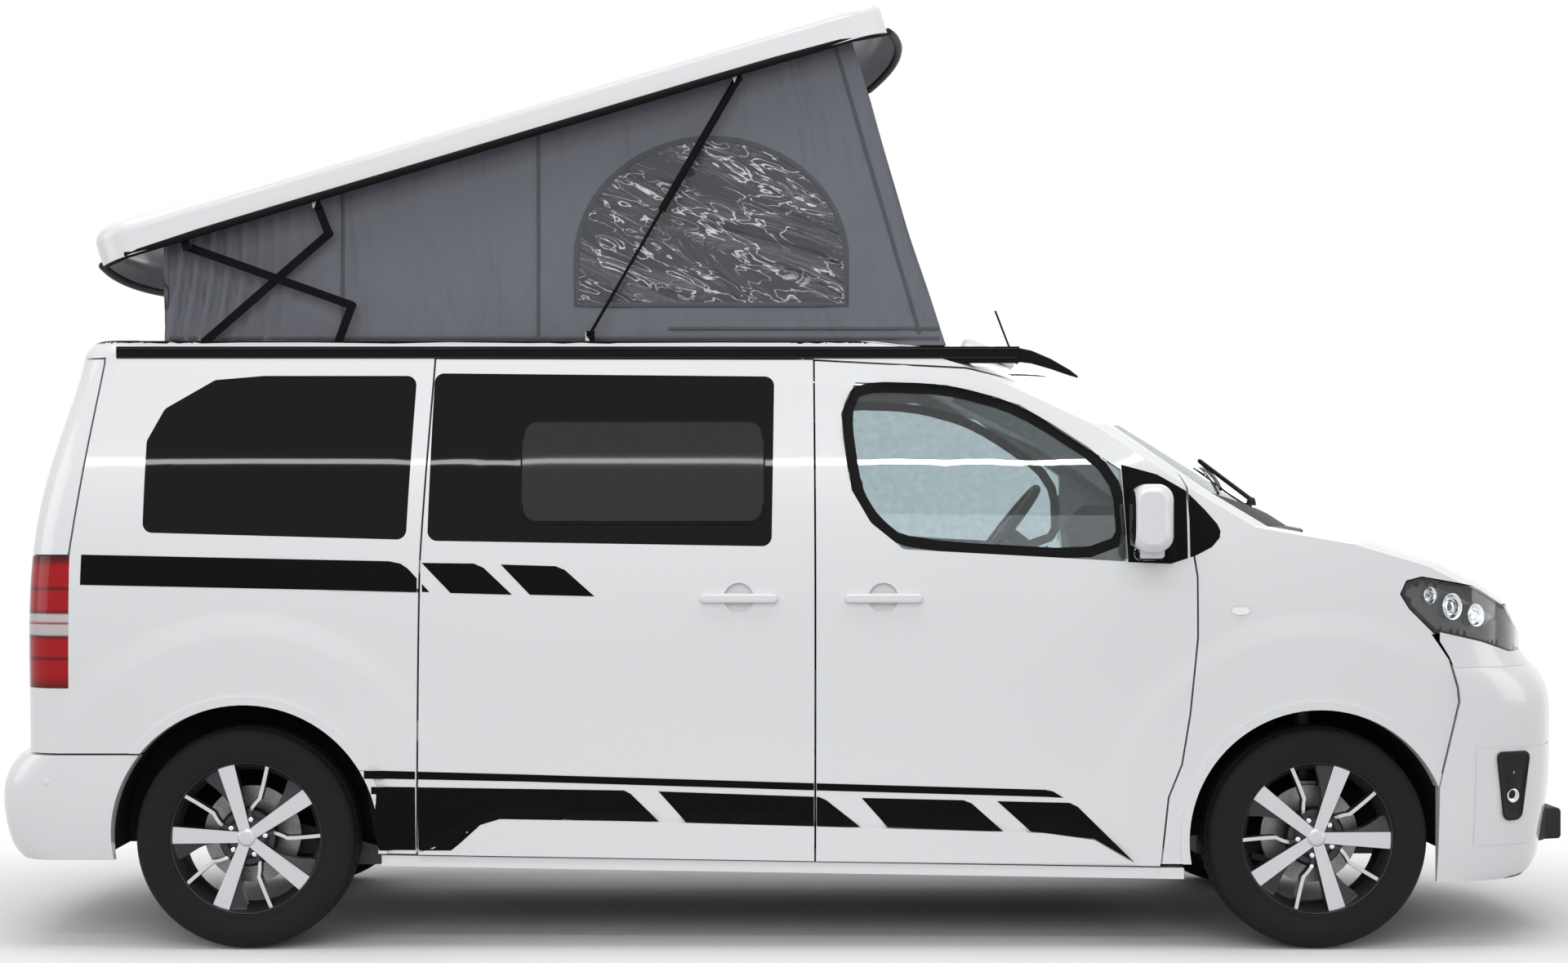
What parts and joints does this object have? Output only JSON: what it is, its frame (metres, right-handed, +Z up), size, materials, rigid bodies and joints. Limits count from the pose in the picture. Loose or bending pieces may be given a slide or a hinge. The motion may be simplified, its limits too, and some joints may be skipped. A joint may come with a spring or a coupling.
{
  "type": "camper van",
  "caption": "Panel-bodied camper van with a raised front-lifting tent roof, hinged cab doors, bonnet and tailgate, steered front wheels and scissor-hinged roof shell",
  "frame": {"origin": "on the ground at the middle of the vehicle's length and width", "axes": "+X forward, +Y to the left side, +Z up"},
  "size_m": [4.959, 2.314, 2.9606],
  "materials": {
    "body_paint": "gloss white paint",
    "black_trim": "grained black plastic",
    "clear_glass": "tinted glass",
    "lamp_clear": "clear lamp cover",
    "lamp_red": "red lamp cover",
    "grille_black": "gloss black",
    "underbody": "dark sealed steel",
    "tyre_rubber": "matt rubber",
    "alloy": "machined alloy",
    "iron": "bare iron",
    "seat_cloth": "woven cloth",
    "dash_plastic": "soft plastic",
    "canvas": "grey tent cloth",
    "link_metal": "bright link metal",
    "wheel_leather": "smooth leather"
  },
  "bodies": {
    "body": {"side_panels": "body_paint", "sliding_door": "body_paint", "roof_panel": "body_paint", "tail_lamps": "lamp_red", "fixed_glass": "clear_glass", "headlamps": "lamp_clear", "grille": "grille_black", "front_wings": "body_paint", "cowl": "black_trim", "front_bumper": "body_paint", "rear_bumper": "body_paint", "floor_pan": "underbody", "sill_trim": "black_trim", "front_subframe": "iron", "rear_axle": "iron", "engine": "iron", "dashboard": "dash_plastic", "seats": "seat_cloth", "roof_rails": "black_trim", "tent_canvas": "canvas"},
    "right_door": {"door_right": "body_paint", "door_glass_right": "clear_glass"},
    "left_door": {"door_left": "body_paint", "door_glass_left": "clear_glass"},
    "bonnet_lid": {"bonnet": "body_paint"},
    "tail_door": {"tailgate": "body_paint", "tailgate_glass": "clear_glass"},
    "right_knuckle": {"knuckle_right": "iron"},
    "left_knuckle": {"knuckle_left": "iron"},
    "wheel_front_right": {"tyre_front_right": "tyre_rubber", "rim_front_right": "alloy"},
    "wheel_front_left": {"tyre_front_left": "tyre_rubber", "rim_front_left": "alloy"},
    "wheel_rear_right": {"tyre_rear_right": "tyre_rubber", "rim_rear_right": "alloy"},
    "wheel_rear_left": {"tyre_rear_left": "tyre_rubber", "rim_rear_left": "alloy"},
    "hand_wheel": {"steering_wheel": "wheel_leather"},
    "lifting_roof": {"roof_shell": "body_paint"},
    "scissor_a": {"link_a": "link_metal"},
    "scissor_b": {"link_b": "link_metal"},
    "scissor_c": {"link_c": "link_metal"},
    "scissor_d": {"link_d": "link_metal"},
    "roof_strut": {"strut_cylinder": "black_trim"},
    "roof_strut_rod": {"strut_rod": "link_metal"}
  },
  "joints": [
    {"name": "steer_left", "type": "hinge", "parent": "body", "child": "left_knuckle", "pos_m": [1.5985, 0.735, 0.34], "axis": [0, 0, 1], "range_deg": [-35, 35]},
    {"name": "steer_right", "type": "hinge", "parent": "body", "child": "right_knuckle", "pos_m": [1.5985, -0.735, 0.34], "axis": [0, 0, 1], "range_deg": [-35, 35]},
    {"name": "spin_front_right", "type": "hinge", "parent": "right_knuckle", "child": "wheel_front_right", "pos_m": [1.5985, -0.8175, 0.34], "axis": [0, 1, 0], "continuous": true},
    {"name": "spin_front_left", "type": "hinge", "parent": "left_knuckle", "child": "wheel_front_left", "pos_m": [1.5985, 0.8175, 0.34], "axis": [0, 1, 0], "continuous": true},
    {"name": "spin_rear_right", "type": "hinge", "parent": "body", "child": "wheel_rear_right", "pos_m": [-1.6765, -0.8175, 0.34], "axis": [0, 1, 0], "continuous": true},
    {"name": "spin_rear_left", "type": "hinge", "parent": "body", "child": "wheel_rear_left", "pos_m": [-1.6765, 0.8175, 0.34], "axis": [0, 1, 0], "continuous": true},
    {"name": "hand_wheel_turn", "type": "hinge", "parent": "body", "child": "hand_wheel", "pos_m": [0.76, 0.38, 1.275], "axis": [-0.7915, 0, 0.6112], "range_deg": [-525.5, 525.5]},
    {"name": "door_right_swing", "type": "hinge", "parent": "body", "child": "right_door", "pos_m": [1.227, -0.966, 0.9], "axis": [0, 0, 1], "range_deg": [0, 65]},
    {"name": "door_left_swing", "type": "hinge", "parent": "body", "child": "left_door", "pos_m": [1.227, 0.966, 0.9], "axis": [0, 0, -1], "range_deg": [0, 65]},
    {"name": "bonnet_lift", "type": "hinge", "parent": "body", "child": "bonnet_lid", "pos_m": [1.556, 0, 1.262], "axis": [0, -1, 0], "range_deg": [0, 55]},
    {"name": "tailgate_lift", "type": "hinge", "parent": "body", "child": "tail_door", "pos_m": [-2.282, 0, 1.813], "axis": [0, 1, 0], "range_deg": [0, 85]},
    {"name": "roof_lift", "type": "hinge", "parent": "body", "child": "lifting_roof", "pos_m": [-2.925, 0, 1.837], "axis": [0, 1, 0], "range_deg": [0, 16.6], "deforming": ["tent_canvas"]},
    {"name": "link_a_turn", "type": "hinge", "parent": "body", "child": "scissor_a", "pos_m": [-1.845, 0, 1.868], "axis": [0, 1, 0], "range_deg": [0, 38.04]},
    {"name": "link_d_turn", "type": "hinge", "parent": "body", "child": "scissor_d", "pos_m": [-1.424, 0, 1.862], "axis": [0, 1, 0], "range_deg": [0, 58.17]},
    {"name": "link_b_turn", "type": "hinge", "parent": "lifting_roof", "child": "scissor_b", "pos_m": [-1.487, 0, 2.298], "axis": [0, 1, 0], "range_deg": [-106.19, 0]},
    {"name": "link_c_turn", "type": "hinge", "parent": "lifting_roof", "child": "scissor_c", "pos_m": [-1.893, 0, 2.166], "axis": [0, 1, 0], "range_deg": [-40.17, 0]},
    {"name": "strut_swing", "type": "hinge", "parent": "lifting_roof", "child": "roof_strut", "pos_m": [-0.174, 0, 2.691], "axis": [0, 1, 0], "range_deg": [0, 46.14]},
    {"name": "strut_rod_slide", "type": "slide", "parent": "roof_strut", "child": "roof_strut_rod", "axis": [0.5006, 0, 0.8657], "range_m": [0, 0.3332]}
  ],
  "couplings": [
    {"joint": "steer_right", "follows": "steer_left", "ratio": 1},
    {"joint": "hand_wheel_turn", "follows": "steer_left", "ratio": 15},
    {"joint": "link_a_turn", "follows": "roof_lift", "ratio": 2.2552},
    {"joint": "link_d_turn", "follows": "roof_lift", "ratio": 3.4679},
    {"joint": "link_b_turn", "follows": "roof_lift", "ratio": -6.3607},
    {"joint": "link_c_turn", "follows": "roof_lift", "ratio": -2.3841},
    {"joint": "strut_swing", "follows": "roof_lift", "ratio": 2.7436},
    {"joint": "strut_rod_slide", "follows": "roof_lift", "m_per_rad": 1.1432}
  ]
}
